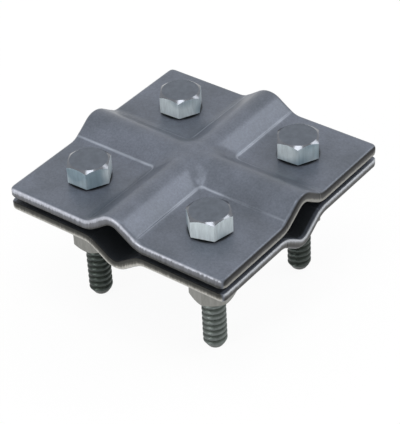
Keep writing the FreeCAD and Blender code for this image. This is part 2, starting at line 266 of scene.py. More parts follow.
def close_shape(shape, mesh):
    """Merge doubles, point the faces outwards and write the shape to the mesh."""
    bmesh.ops.remove_doubles(shape, verts=shape.verts, dist=TINY)
    bmesh.ops.recalc_face_normals(shape, faces=shape.faces)
    shape.to_mesh(mesh)
    shape.free()


def point_outwards(mesh):
    shape = bmesh.new()
    shape.from_mesh(mesh)
    close_shape(shape, mesh)


def station_place(station):
    low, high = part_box("bolt_" + station)
    return (low.x + high.x) / 2, (low.y + high.y) / 2


# Real width of one cell of each pattern in the zinc
CLOUD_WIDTH = 11.765 * MM
GRAIN_WIDTH = 0.5263 * MM
STREAK_WIDTH = 0.6667 * MM
FILM_WIDTH = 8.333 * MM
CROWN_MOTTLE = 1.6667 * MM
THREAD_MOTTLE = 1.1111 * MM
WASHER_MOTTLE = 2 * MM


def plan_places(tree, where):
    """Places in plan, and the same folded into one quarter of the clamp."""
    level = add_node(tree, "ShaderNodeVectorMath", {0: where, 1: (1.0, 1.0, 0.0)}, operation="MULTIPLY")
    return level, add_node(tree, "ShaderNodeVectorMath", {0: level}, operation="ABSOLUTE")


def bolt_distance(tree, folded, pitch):
    """Distance of a folded place from the nearest bolt's axis."""
    return add_node(tree, "ShaderNodeVectorMath", {
        0: folded, 1: (pitch / 2, pitch / 2, 0.0)}, operation="DISTANCE").outputs["Value"]


# Plates

def channel_height(plate, across, inward):
    """Height and slope of a channel's surface at a distance from its middle; inward 0 is the outer face."""
    t = abs(across)
    crest = plate.crest - inward
    foot = plate.foot + inward
    lean = plate.slope
    half = (plate.crest + plate.foot) * math.tan(lean / 2) + plate.rise / math.tan(lean)
    crest_end = crest * math.sin(lean)
    foot_start = half - foot * math.sin(lean)
    if t < crest_end:
        drop = math.sqrt(crest ** 2 - t ** 2)
        return plate.rise - plate.crest + drop, -t / drop
    if t < foot_start:
        top = plate.rise - plate.crest + crest * math.cos(lean)
        return top - (t - crest_end) * math.tan(lean), -math.tan(lean)
    if t < half:
        rest = math.sqrt(foot ** 2 - (half - t) ** 2)
        return plate.foot - rest, -(half - t) / rest
    return -inward, 0.0


def surface_height(plate, x, y, inward):
    """Height of the sheet where the two channels cross, with their creases rounded."""
    one, slope_one = channel_height(plate, x, inward)
    two, slope_two = channel_height(plate, y, inward)
    bend = slope_one ** 2 + slope_two ** 2
    reach = (plate.crease + inward) * bend / 2 / math.sqrt(1 + bend / 4)
    apart = abs(one - two)
    if reach > TINY and apart < reach:
        return max(one, two) + (reach - apart) ** 2 / (4 * reach)
    return max(one, two)


# Grid lines stand a fine step apart over the channels and a wide step apart over the flats
FINE_STEP, FINE_LINES = 0.42 * MM, 26
WIDE_STEP, WIDE_LINES = 2.5 * MM, range(5, 13)


def sheet_lines(plate, rounding, steps):
    """Grid lines across the plate: close over the channel, wide over the flats, and round the rim."""
    half = plate.side / 2
    fine = [i * FINE_STEP for i in range(FINE_LINES)]
    wide = [i * WIDE_STEP for i in WIDE_LINES]
    rim = [half - plate.corner]
    rim += [half - rounding * (1 - math.sin(math.pi / 2 * i / steps)) for i in range(steps + 1)]
    right = fine + [t for t in wide if t < half - plate.corner - 0.5 * MM] + rim
    return [-t for t in reversed(right[1:])] + right


def sheet_point(plate, x, y, inward, rounding):
    """Point of the outer or inner face, corners and rim rounded, and its depth as a share of the sheet."""
    half = plate.side / 2
    centre = half - plate.corner
    height = surface_height(plate, x, y, inward)
    inside = max(0.0, rounding - (half - max(abs(x), abs(y))))
    fall = rounding - math.sqrt(max(rounding ** 2 - inside ** 2, 0.0))
    normal = Vector((0, 0, 1))
    if abs(x) > abs(y):
        lean = channel_height(plate, y, inward)[1] * math.copysign(1, y)
        normal = Vector((0, -lean, 1)).normalized()
    elif abs(y) > abs(x):
        lean = channel_height(plate, x, inward)[1] * math.copysign(1, x)
        normal = Vector((-lean, 0, 1)).normalized()
    away_x, away_y = abs(x) - centre, abs(y) - centre
    if away_x > 0 and away_y > 0:
        ring = max(away_x, away_y) / math.hypot(away_x, away_y)
        x = math.copysign(centre + away_x * ring, x)
        y = math.copysign(centre + away_y * ring, y)
    depth = fall if inward == 0 else inward - fall
    return Vector((x, y, height)) + normal * (inward - depth), depth / plate.sheet


def plate_mesh(plate):
    """Closed sheet, outer face up, with its flats' outer face at zero height."""
    shape = bmesh.new()
    depths = shape.verts.layers.float.new("depth")
    faces = []
    for inward, rounding in ((0.0, plate.rim), (plate.sheet, plate.burr)):
        lines = sheet_lines(plate, rounding, steps=6)
        grid = []
        for x in lines:
            grid.append([])
            for y in lines:
                place, depth = sheet_point(plate, x, y, inward, rounding)
                vertex = shape.verts.new(place)
                vertex[depths] = depth
                grid[-1].append(vertex)
        faces.append(grid)
        count = len(lines) - 1
        for i in range(count):
            for j in range(count):
                corners = (grid[i][j], grid[i + 1][j], grid[i + 1][j + 1], grid[i][j + 1])
                shape.faces.new(corners)
    outer, inner = faces
    last = len(outer) - 1
    border = [(i, 0) for i in range(last)] + [(last, j) for j in range(last)]
    border += [(last - i, last) for i in range(last)] + [(0, last - j) for j in range(last)]
    for (a, b), (c, d) in zip(border, border[1:] + border[:1]):
        shape.faces.new((outer[a][b], outer[c][d], inner[c][d], inner[a][b]))
    mesh = bpy.data.meshes.new("pressed_plate")
    close_shape(shape, mesh)
    return mesh


PUNCH_LENGTH = 20 * MM


def punched_tree():
    """Punches a square of four bolt holes through a plate, then seats it."""
    tree, given = new_tree("Punched plate", ("Hole Radius", "Pitch", "Punch Length"), Plate="Object")
    plate = add_node(tree, "GeometryNodeObjectInfo", {"Object": given["Plate"]})
    places = add_node(tree, "GeometryNodeMeshGrid", {
        "Size X": given["Pitch"], "Size Y": given["Pitch"], "Vertices X": 2, "Vertices Y": 2})
    punch = add_node(tree, "GeometryNodeMeshCylinder", {
        "Vertices": HOLE_SIDES, "Radius": given["Hole Radius"], "Depth": given["Punch Length"]})
    punches = add_node(tree, "GeometryNodeInstanceOnPoints", {"Points": places, "Instance": punch})
    real = add_node(tree, "GeometryNodeRealizeInstances", {"Geometry": punches})
    cut = add_node(tree, "GeometryNodeMeshBoolean", {
        "Mesh 1": plate.outputs["Geometry"], "Mesh 2": real}, operation="DIFFERENCE", solver="EXACT")
    close_tree(tree, given, cut)
    return tree


# Tones of each plate's sides by depth, 0 at the outer face and 1 at the inner face. Those across Y are the
# bar's rolled edges, with a painted highlight along the outer rim and painted shade towards the gap. Those
# across X were
# sheared: a dark roll-over, a torn band and a bright burr, partly real and partly painted shade and painted
# highlight.
SIDE_TONES_AND_PAINTED_LIGHT = {
    "upper_plate": {
        "Y": ((0.0, "#B4B7C2"), (0.28, "#A4A7B0"), (0.4, "#696B71"), (0.74, "#55565A"), (0.88, "#2F302F")),
        "X": ((0.0, "#4A4D52"), (0.12, "#161617"), (0.42, "#1C1C1B"), (0.62, "#3A3937"), (0.78, "#85847E"),
              (1.0, "#7E7D78")),
    },
    "lower_plate": {
        "Y": ((0.0, "#BAB9B4"), (0.36, "#A4A29C"), (0.54, "#55544E"), (0.74, "#2C2C28"), (1.0, "#1E1E1A")),
        "X": ((0.0, "#0E0E0E"), (0.4, "#1E1E1D"), (0.58, "#3E3E3C"), (0.74, "#707276"), (0.88, "#B0B4BA"),
              (1.0, "#A6AAB0")),
    },
}


# A rubbed line, partly a painted highlight, and the step below it, reach this far to each side of a pad's
# edge
LINE_REACH, STEP_REACH = 0.45 * MM, 0.15 * MM

# The rubbed lines and their painted highlight fade between these distances from the place where they are
# brightest
BRIGHTEST_LINES = (-6 * MM, 6 * MM, 0.0)
LINES_FADE_NEAR, LINES_FADE_FAR = 18 * MM, 34 * MM

# The sides' tones take over between these distances from the outline
SIDE_INNER, SIDE_OUTER = 0.5 * MM, 0.2 * MM

# How far the rolled sides' painted highlight narrows from the bar's middle to its end, as a share of the
# sheet
HIGHLIGHT_SLANTS = {"upper_plate": 0.14, "lower_plate": 0.0}

# The painted shadow under a head ends between these distances from the bolt's axis
RING_INNER, RING_OUTER = 5.1 * MM, 5.6 * MM

# The painted shade on the inner face ends between these distances from a rolled side, and further in from a
# sheared one
SHADE_END_OUTER, SHADE_END_INNER = 0.2 * MM, 0.6 * MM
SHEARED_SHADE_INSET = 0.8 * MM


def plate_material(name, plate, pitch, sides, slant):
    """Zinc-plated pressed steel sheet: the zinc is satin, with a fine grain and cloudy duller patches."""
    material, tree = new_material(name)
    where = add_node(tree, "ShaderNodeTexCoord").outputs["Object"]
    clouds = add_node(tree, "ShaderNodeTexNoise", {
        "Vector": where, "Scale": 1 / CLOUD_WIDTH, "Detail": 3.0, "Roughness": 0.55})
    # The zinc's crystal grain is drawn coarser than the real one, so that it shows
    grain = add_node(tree, "ShaderNodeTexNoise", {
        "Vector": where, "Scale": 1 / GRAIN_WIDTH, "Detail": 2.0, "Roughness": 0.7})
    patches = add_node(tree, "ShaderNodeMapRange", {"Value": clouds, "From Min": 0.35, "From Max": 0.65})
    colour = add_node(tree, "ShaderNodeMix", {
        "Factor": patches, 6: linear(plate.dark), 7: linear(plate.light)}, data_type="RGBA")
    speckle = add_node(tree, "ShaderNodeMapRange", {
        "Value": grain, "From Min": 0.3, "From Max": 0.7, "To Min": 0.86, "To Max": 1.14})
    grained = add_node(tree, "ShaderNodeVectorMath", {
        0: colour.outputs[2], 1: speckle}, operation="MULTIPLY")
    # Way across a pad's edge, positive on the channels' side: the press tool coins the pads a little lower
    level, spread = plan_places(tree, where)
    reach = plate.pad + plate.pad_corner
    short = add_node(tree, "ShaderNodeVectorMath", {
        0: (reach, reach, 0.0), 1: spread}, operation="SUBTRACT")
    inside = add_node(tree, "ShaderNodeVectorMath", {0: short, 1: (0.0, 0.0, 0.0)}, operation="MAXIMUM")
    away = add_node(tree, "ShaderNodeVectorMath", {0: inside}, operation="LENGTH").outputs["Value"]
    across = add_node(tree, "ShaderNodeMath", {0: away, 1: plate.pad_corner}, operation="SUBTRACT")
    edge = add_node(tree, "ShaderNodeMath", {0: across}, operation="ABSOLUTE")
    line = add_node(tree, "ShaderNodeMapRange", {
        "Value": edge, "From Min": 0.0, "From Max": LINE_REACH, "To Min": 1.0, "To Max": 0.0},
        interpolation_type="SMOOTHSTEP")
    # The tool rubs that edge bright, and a painted highlight lies along it, most at the crossing's back
    # left, and more in some places than others
    rub_and_highlight_patches = add_node(tree, "ShaderNodeMapRange", {
        "Value": clouds, "From Min": 0.4, "From Max": 0.6, "To Min": 0.3, "To Max": 0.85})
    far = add_node(tree, "ShaderNodeVectorMath", {
        0: level, 1: BRIGHTEST_LINES}, operation="DISTANCE").outputs["Value"]
    fading = add_node(tree, "ShaderNodeMapRange", {
        "Value": far, "From Min": LINES_FADE_NEAR, "From Max": LINES_FADE_FAR, "To Min": 1.0, "To Max": 0.35})
    faded = add_node(tree, "ShaderNodeMath", {0: line, 1: fading}, operation="MULTIPLY")
    rub_and_highlight = add_node(tree, "ShaderNodeMath", {0: faded, 1: rub_and_highlight_patches}, operation="MULTIPLY")
    surface = add_node(tree, "ShaderNodeMix", {
        "Factor": rub_and_highlight, 6: grained, 7: linear(plate.rubbed)}, data_type="RGBA").outputs[2]
    step = add_node(tree, "ShaderNodeMapRange", {
        "Value": across, "From Min": -STEP_REACH, "From Max": STEP_REACH}, interpolation_type="SMOOTHSTEP")
    # The sides' tones, painted highlight and painted shade among them, ragged and mottled along streaks
    # that run across the sheet
    depth = add_node(tree, "ShaderNodeAttribute", attribute_name="depth").outputs["Fac"]
    streaks = add_node(tree, "ShaderNodeVectorMath", {0: where, 1: (1.0, 1.0, 0.25)}, operation="MULTIPLY")
    ragged = add_node(tree, "ShaderNodeTexNoise", {
        "Vector": streaks, "Scale": 1 / STREAK_WIDTH, "Detail": 2.0, "Roughness": 0.6})
    shift = add_node(tree, "ShaderNodeMapRange", {
        "Value": ragged, "From Min": 0.3, "From Max": 0.7, "To Min": -0.07, "To Max": 0.07})
    moved = add_node(tree, "ShaderNodeMath", {0: depth, 1: shift}, operation="ADD")
    # The painted highlight on the rolled edges narrows from one end of the bar to the other
    along = add_node(tree, "ShaderNodeSeparateXYZ", {0: where}).outputs["X"]
    narrower = add_node(tree, "ShaderNodeMapRange", {
        "Value": along, "From Min": -plate.side / 2, "From Max": plate.side / 2,
        "To Min": -slant, "To Max": slant})
    slanted = add_node(tree, "ShaderNodeMath", {0: moved, 1: narrower}, operation="ADD")
    mottled = add_node(tree, "ShaderNodeMapRange", {
        "Value": ragged, "From Min": 0.3, "From Max": 0.7, "To Min": 1.12, "To Max": 0.88})
    plan = add_node(tree, "ShaderNodeSeparateXYZ", {0: spread}).outputs
    for axis, stops in sides.items():
        ramp = add_node(tree, "ShaderNodeValToRGB", {"Fac": slanted if axis == "Y" else moved})
        elements = ramp.color_ramp.elements
        for _ in stops[2:]:
            elements.new(1.0)
        for element, (position, tone) in zip(elements, stops):
            element.position = position
            element.color = linear(tone)
        rim = add_node(tree, "ShaderNodeMapRange", {
            "Value": plan[axis], "From Min": plate.side / 2 - SIDE_INNER,
            "From Max": plate.side / 2 - SIDE_OUTER})
        toned = add_node(tree, "ShaderNodeVectorMath", {0: ramp, 1: mottled}, operation="MULTIPLY")
        surface = add_node(tree, "ShaderNodeMix", {
            "Factor": rim, 6: surface, 7: toned}, data_type="RGBA").outputs[2]
    # Painted shade on the inner face, and a painted shadow in a ring under each head
    ring = add_node(tree, "ShaderNodeMapRange", {
        "Value": bolt_distance(tree, spread, pitch), "From Min": RING_INNER, "From Max": RING_OUTER,
        "To Min": 0.85, "To Max": 0.0})
    inner = add_node(tree, "ShaderNodeMapRange", {
        "Value": depth, "From Min": 0.96, "From Max": 1.0, "To Max": 0.75})
    # The painted shade stops a little further in from the sheared edges
    sheared_inset = add_node(tree, "ShaderNodeMath", {0: plan["X"], 1: SHEARED_SHADE_INSET}, operation="ADD")
    outermost = add_node(tree, "ShaderNodeMath", {0: sheared_inset, 1: plan["Y"]}, operation="MAXIMUM")
    inland = add_node(tree, "ShaderNodeMapRange", {
        "Value": outermost, "From Min": plate.side / 2 - SHADE_END_INNER,
        "From Max": plate.side / 2 - SHADE_END_OUTER, "To Min": 1.0, "To Max": 0.0})
    inner_shade = add_node(tree, "ShaderNodeMath", {0: inner, 1: inland}, operation="MULTIPLY")
    shade_mask = add_node(tree, "ShaderNodeMath", {0: ring, 1: inner_shade}, operation="MAXIMUM")
    surface = add_node(tree, "ShaderNodeMix", {
        "Factor": shade_mask, 6: surface, 7: linear(plate.painted_shade)}, data_type="RGBA").outputs[2]
    dull = add_node(tree, "ShaderNodeMapRange", {
        "Value": clouds, "From Min": 0.3, "From Max": 0.7, "To Min": 0.32, "To Max": 0.44})
    bump = add_node(tree, "ShaderNodeBump", {"Height": grain, "Strength": 0.5, "Distance": 0.03 * MM})
    stepped = add_node(tree, "ShaderNodeBump", {
        "Height": step, "Strength": 1.0, "Distance": plate.pad_step, "Normal": bump})
    shader = add_node(tree, "ShaderNodeBsdfPrincipled", {
        "Base Color": surface, "Metallic": 0.42, "Roughness": dull, "Normal": stepped})
    finish_material(tree, shader)
    return material


class CLAMP_OT_plates(bpy.types.Operator):
    """Build both pressed plates."""
    bl_idname = "clamp.plates"
    bl_label = "Plates"

    def execute(self, context):
        plate = context.scene.clamp_plate
        fasteners = context.scene.clamp_fasteners
        blank = add_object("blank", plate_mesh(plate))
        tree = punched_tree()
        upper_flat = UPPER_HIGH.z - plate.rise
        lower_flat = LOWER_LOW.z + plate.rise
        for name, height, turn in (("upper_plate", upper_flat, 0.0), ("lower_plate", lower_flat, math.pi)):
            material = plate_material(
                "Zinc-plated sheet of " + name, plate, fasteners.pitch, SIDE_TONES_AND_PAINTED_LIGHT[name], HIGHLIGHT_SLANTS[name])
            piece = grow("pressed_" + name, tree, {
                "Plate": blank, "Hole Radius": plate.hole, "Pitch": fasteners.pitch,
                "Punch Length": PUNCH_LENGTH,
                "Place": (0.0, 0.0, height), "Turn": (turn, 0.0, 0.0), "Material": material})
            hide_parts(name)
            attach(piece, name)
        bpy.data.objects.remove(blank)
        return {"FINISHED"}


# Bolts, nuts and washers

BLOCK_SIZES = ("Width", "Height", "Inset", "Chamfer")


def block_tree():
    """Hexagon block whose corners are chamfered at its top, and at its foot where Both Ends is on."""
    tree, given = new_tree("Hexagon block", BLOCK_SIZES, ("Both Ends",), placed=False)
    width, height = given["Width"], given["Height"]
    corner = add_node(tree, "ShaderNodeMath", {0: width, 1: math.sqrt(3)}, operation="DIVIDE")
    prism = add_node(tree, "GeometryNodeMeshCylinder", {"Vertices": 6, "Radius": corner, "Depth": height})
    half = add_node(tree, "ShaderNodeMath", {0: width, 1: 0.5}, operation="MULTIPLY")
    crown = add_node(tree, "ShaderNodeMath", {0: half, 1: given["Inset"]}, operation="SUBTRACT")
    steep = add_node(tree, "ShaderNodeMath", {0: given["Chamfer"]}, operation="TANGENT")
    run = add_node(tree, "ShaderNodeMath", {0: height, 1: steep}, operation="DIVIDE")
    spread = add_node(tree, "ShaderNodeMath", {0: run, 1: crown}, operation="ADD")
    cone = add_node(tree, "GeometryNodeMeshCone", {
        "Vertices": RING_SIDES, "Radius Top": crown, "Radius Bottom": spread, "Depth": height})
    centre = add_node(tree, "ShaderNodeMath", {0: height, 1: -0.5}, operation="MULTIPLY")
    foot = add_node(tree, "ShaderNodeMath", {0: height, 1: -1.0}, operation="MULTIPLY")
    low_cone, low_prism = lifted(tree, cone, foot), lifted(tree, prism, centre)
    topped = add_node(tree, "GeometryNodeMeshBoolean", {
        "Mesh 2": [low_cone, low_prism]}, operation="INTERSECT", solver="EXACT")
    turned = add_node(tree, "GeometryNodeTransform", {"Geometry": cone, "Rotation": (math.pi, 0.0, 0.0)})
    footed = add_node(tree, "GeometryNodeMeshBoolean", {
        "Mesh 2": [turned, topped]}, operation="INTERSECT", solver="EXACT")
    block = add_node(tree, "GeometryNodeSwitch", {
        "Switch": given["Both Ends"], "False": topped, "True": footed}, input_type="GEOMETRY")
    add_node(tree, "NodeGroupOutput", {0: block})
    return tree


# Shares of half a thread's pitch at which a flank starts and ends, and of the radius left at the tip
FLANK_START, FLANK_END = 0.2, 0.84
TIP_SHARE = 0.66

# Radius of the bearing face, as a share of the head's width
BEARING_SHARE = 0.39


def bolt_tree(block):
    """Hexagon bolt on its own axis: a thread that winds down a tapered shank, and a head above it."""
    tree, given = new_tree("Hexagon bolt", (
        "Radius", "Depth", "Lead", "Length", "Tip",
        "Head Width", "Head Height", "Inset", "Chamfer", "Bearing"))
    reach, radius = given["Length"], given["Radius"]
    # A sheet of this many points along and round the shank is wrapped round it
    rows, columns = 280, 57
    grid = add_node(tree, "GeometryNodeMeshGrid", {
        "Size X": 1.0, "Size Y": 1.0, "Vertices X": columns, "Vertices Y": rows})
    place = add_node(tree, "ShaderNodeSeparateXYZ", {0: add_node(tree, "GeometryNodeInputPosition")})
    turn = add_node(tree, "ShaderNodeMath", {0: place.outputs["X"], 1: math.tau}, operation="MULTIPLY")
    # Depth below the head's bearing face; the first and last rows, at 0.5, close the ends
    below = add_node(tree, "ShaderNodeMapRange", {
        "Value": place.outputs["Y"], "From Min": -0.5 + 1 / rows, "From Max": 0.5 - 1 / rows,
        "To Min": -1 * MM, "To Max": reach})
    winds = add_node(tree, "ShaderNodeMath", {0: below, 1: given["Lead"]}, operation="DIVIDE")
    phase = add_node(tree, "ShaderNodeMath", {0: winds, 1: place.outputs["X"]}, operation="ADD")
    wave = add_node(tree, "ShaderNodeMath", {0: phase, 1: 0.5}, operation="PINGPONG")
    cut = add_node(tree, "ShaderNodeMapRange", {
        "Value": wave, "From Min": FLANK_START / 2, "From Max": FLANK_END / 2, "To Max": given["Depth"]},
        interpolation_type="SMOOTHSTEP")
    crest = add_node(tree, "ShaderNodeMath", {0: radius, 1: cut}, operation="SUBTRACT")
    tip_start = add_node(tree, "ShaderNodeMath", {0: reach, 1: given["Tip"]}, operation="SUBTRACT")
    blunt = add_node(tree, "ShaderNodeMath", {0: radius, 1: TIP_SHARE}, operation="MULTIPLY")
    taper = add_node(tree, "ShaderNodeMapRange", {
        "Value": below, "From Min": tip_start, "From Max": reach, "To Min": radius, "To Max": blunt})
    outside = add_node(tree, "ShaderNodeMath", {0: crest, 1: taper}, operation="MINIMUM")
    edge = add_node(tree, "ShaderNodeMath", {0: place.outputs["Y"]}, operation="ABSOLUTE")
    open_row = add_node(tree, "ShaderNodeMath", {0: edge, 1: 0.4999}, operation="LESS_THAN")
    wide = add_node(tree, "ShaderNodeMath", {0: outside, 1: open_row}, operation="MULTIPLY")
    ways = [add_node(tree, "ShaderNodeMath", {0: turn}, operation=way) for way in ("COSINE", "SINE")]
    x, y = (add_node(tree, "ShaderNodeMath", {0: wide, 1: way}, operation="MULTIPLY") for way in ways)
    z = add_node(tree, "ShaderNodeMath", {0: below, 1: -1.0}, operation="MULTIPLY")
    wrapped = add_node(tree, "ShaderNodeCombineXYZ", {"X": x, "Y": y, "Z": z})
    shank = add_node(tree, "GeometryNodeSetPosition", {"Geometry": grid, "Position": wrapped})
    closed = add_node(tree, "GeometryNodeMergeByDistance", {"Geometry": shank, "Distance": TINY})
    tall = add_node(tree, "ShaderNodeMath", {
        0: given["Head Height"], 1: given["Bearing"]}, operation="SUBTRACT")
    head = add_node(tree, "GeometryNodeGroup", {
        "Width": given["Head Width"], "Height": tall, "Inset": given["Inset"],
        "Chamfer": given["Chamfer"]}, node_tree=block)
    raised = lifted(tree, head, given["Head Height"])
    # The round bearing face stands in from the flats, and its dark recess runs all round under the head
    inner = add_node(tree, "ShaderNodeMath", {
        0: given["Head Width"], 1: BEARING_SHARE}, operation="MULTIPLY")
    thick = add_node(tree, "ShaderNodeMath", {0: given["Bearing"], 1: 2.0}, operation="MULTIPLY")
    face = add_node(tree, "GeometryNodeMeshCylinder", {
        "Vertices": HOLE_SIDES, "Radius": inner, "Depth": thick})
    seated = lifted(tree, face, given["Bearing"])
    whole = add_node(tree, "GeometryNodeJoinGeometry", {0: [closed, raised, seated]})
    close_tree(tree, given, whole)
    return tree


def nut_tree(block):
    """Hexagon nut below its own origin, chamfered at both ends, with a countersunk bore."""
    tree, given = new_tree("Hexagon nut", (*BLOCK_SIZES, "Bore", "Countersink"))
    sizes = {name: given[name] for name in BLOCK_SIZES}
    body = add_node(tree, "GeometryNodeGroup", {"Both Ends": True, **sizes}, node_tree=block)
    height, sink = given["Height"], given["Countersink"]
    deep = add_node(tree, "ShaderNodeMath", {0: height, 1: 2.0}, operation="MULTIPLY")
    drill = add_node(tree, "GeometryNodeMeshCylinder", {
        "Vertices": HOLE_SIDES, "Radius": given["Bore"], "Depth": deep})
    double = add_node(tree, "ShaderNodeMath", {0: sink, 1: 2.0}, operation="MULTIPLY")
    wide = add_node(tree, "ShaderNodeMath", {0: given["Bore"], 1: double}, operation="ADD")
    cone = add_node(tree, "GeometryNodeMeshCone", {
        "Vertices": HOLE_SIDES, "Radius Top": given["Bore"], "Radius Bottom": wide, "Depth": double})
    foot = add_node(tree, "ShaderNodeMath", {0: height, 1: -1.0}, operation="MULTIPLY")
    floor = add_node(tree, "ShaderNodeMath", {0: foot, 1: sink}, operation="SUBTRACT")
    lower = lifted(tree, cone, floor)
    upper = lifted(tree, cone, sink, turn=(math.pi, 0.0, 0.0))
    bored = add_node(tree, "GeometryNodeMeshBoolean", {
        "Mesh 1": body, "Mesh 2": [drill, lower, upper]}, operation="DIFFERENCE", solver="EXACT")
    close_tree(tree, given, bored)
    return tree


# A spring washer falls short of a full turn by its slit
COIL_TURNS = 0.96


def washer_tree():
    """Washer swept round its axis below its own origin; Split makes one open coil of it."""
    tree, given = new_tree("Washer", (
        "Inner Radius", "Outer Radius", "Thickness", "Height", "Edge"), ("Split",))
    inner, outer, thick = (given[n] for n in ("Inner Radius", "Outer Radius", "Thickness"))
    both = add_node(tree, "ShaderNodeMath", {0: inner, 1: outer}, operation="ADD")
    middle = add_node(tree, "ShaderNodeMath", {0: both, 1: 0.5}, operation="MULTIPLY")
    width = add_node(tree, "ShaderNodeMath", {0: outer, 1: inner}, operation="SUBTRACT")
    rise = add_node(tree, "ShaderNodeMath", {0: given["Height"], 1: thick}, operation="SUBTRACT")
    ring = add_node(tree, "GeometryNodeCurvePrimitiveCircle", {"Resolution": RING_SIDES, "Radius": middle})
    # The coil winds against the thread
    coil = add_node(tree, "GeometryNodeCurveSpiral", {
        "Resolution": RING_SIDES, "Rotations": COIL_TURNS, "Start Radius": middle, "End Radius": middle,
        "Height": rise, "Reverse": True})
    path = add_node(tree, "GeometryNodeSwitch", {
        "Switch": given["Split"], "False": ring, "True": coil}, input_type="GEOMETRY")
    upright = add_node(tree, "GeometryNodeSetCurveNormal", {"Curve": path}, mode="Z_UP")
    section = add_node(tree, "GeometryNodeCurvePrimitiveQuadrilateral", {"Width": width, "Height": thick})
    soft = add_node(tree, "GeometryNodeFilletCurve", {
        "Curve": section, "Count": 3, "Radius": given["Edge"]}, mode="POLY")
    swept = add_node(tree, "GeometryNodeCurveToMesh", {
        "Curve": upright, "Profile Curve": soft, "Fill Caps": given["Split"]})
    half = add_node(tree, "ShaderNodeMath", {0: thick, 1: 0.5}, operation="MULTIPLY")
    drop = add_node(tree, "ShaderNodeMath", {0: half, 1: given["Height"]}, operation="SUBTRACT")
    close_tree(tree, given, lifted(tree, swept, drop))
    return tree


# Moves the clouds of film, so that they lie on the heads as in the photograph
FILM_SHIFT = (-0.34, -0.04, -0.3)


def zinc_material(name, colour, roughness, mottle_width, tone=0.12, metallic=1.0, drawn=1.0, film=None,
                  groove=None):
    """Electroplated zinc. Drawn below 1 stretches its mottle along the bolts, film is a second colour that
    clouds it, and groove is the bolts' pitch, the thread's radius and depth, and the colour of the painted
    shade in its grooves."""
    material, tree = new_material(name)
    where = add_node(tree, "ShaderNodeTexCoord").outputs["Object"]
    along = add_node(tree, "ShaderNodeVectorMath", {0: where, 1: (1.0, 1.0, drawn)}, operation="MULTIPLY")
    mottle = add_node(tree, "ShaderNodeTexNoise", {
        "Vector": along, "Scale": 1 / mottle_width, "Detail": 3.0, "Roughness": 0.6})
    shade = add_node(tree, "ShaderNodeMapRange", {
        "Value": mottle, "From Min": 0.3, "From Max": 0.7, "To Min": 1 - tone, "To Max": 1 + tone})
    base = linear(colour)[:3]
    if film:
        # Clouds of a thicker passivation film
        moved = add_node(tree, "ShaderNodeVectorMath", {0: where, 1: FILM_SHIFT}, operation="ADD")
        cloud = add_node(tree, "ShaderNodeTexNoise", {
            "Vector": moved, "Scale": 1 / FILM_WIDTH, "Detail": 1.0, "Roughness": 0.5})
        thick = add_node(tree, "ShaderNodeMapRange", {"Value": cloud, "From Min": 0.42, "From Max": 0.6})
        base = add_node(tree, "ShaderNodeMix", {
            "Factor": thick, 6: linear(colour), 7: linear(film)}, data_type="RGBA").outputs[2]
    if groove:
        # Painted shade, dark at the bottom of a groove and gone near its crests
        pitch, radius, depth, dark = groove
        crest = add_node(tree, "ShaderNodeMapRange", {
            "Value": bolt_distance(tree, plan_places(tree, where)[1], pitch),
            "From Min": radius - 0.85 * depth, "From Max": radius - 0.1 * depth})
        base = add_node(tree, "ShaderNodeMix", {
            "Factor": crest, 6: linear(dark), 7: linear(colour)}, data_type="RGBA").outputs[2]
    toned = add_node(tree, "ShaderNodeVectorMath", {0: base, 1: shade}, operation="MULTIPLY")
    bump = add_node(tree, "ShaderNodeBump", {"Height": mottle, "Strength": 0.2, "Distance": 0.02 * MM})
    shader = add_node(tree, "ShaderNodeBsdfPrincipled", {
        "Base Color": toned, "Metallic": metallic, "Roughness": roughness, "Normal": bump})
    finish_material(tree, shader)
    return material


def shade_material(name, colour):
    """Painted shade: dark and half matt."""
    material, tree = new_material(name)
    finish_material(tree, add_node(tree, "ShaderNodeBsdfPrincipled", {
        "Base Color": linear(colour), "Roughness": 0.6}))
    return material


# Upward part of a normal from which a head's face belongs to its chamfers, and from which to its crown
CHAMFER_UP, CROWN_UP = 0.5, 0.99


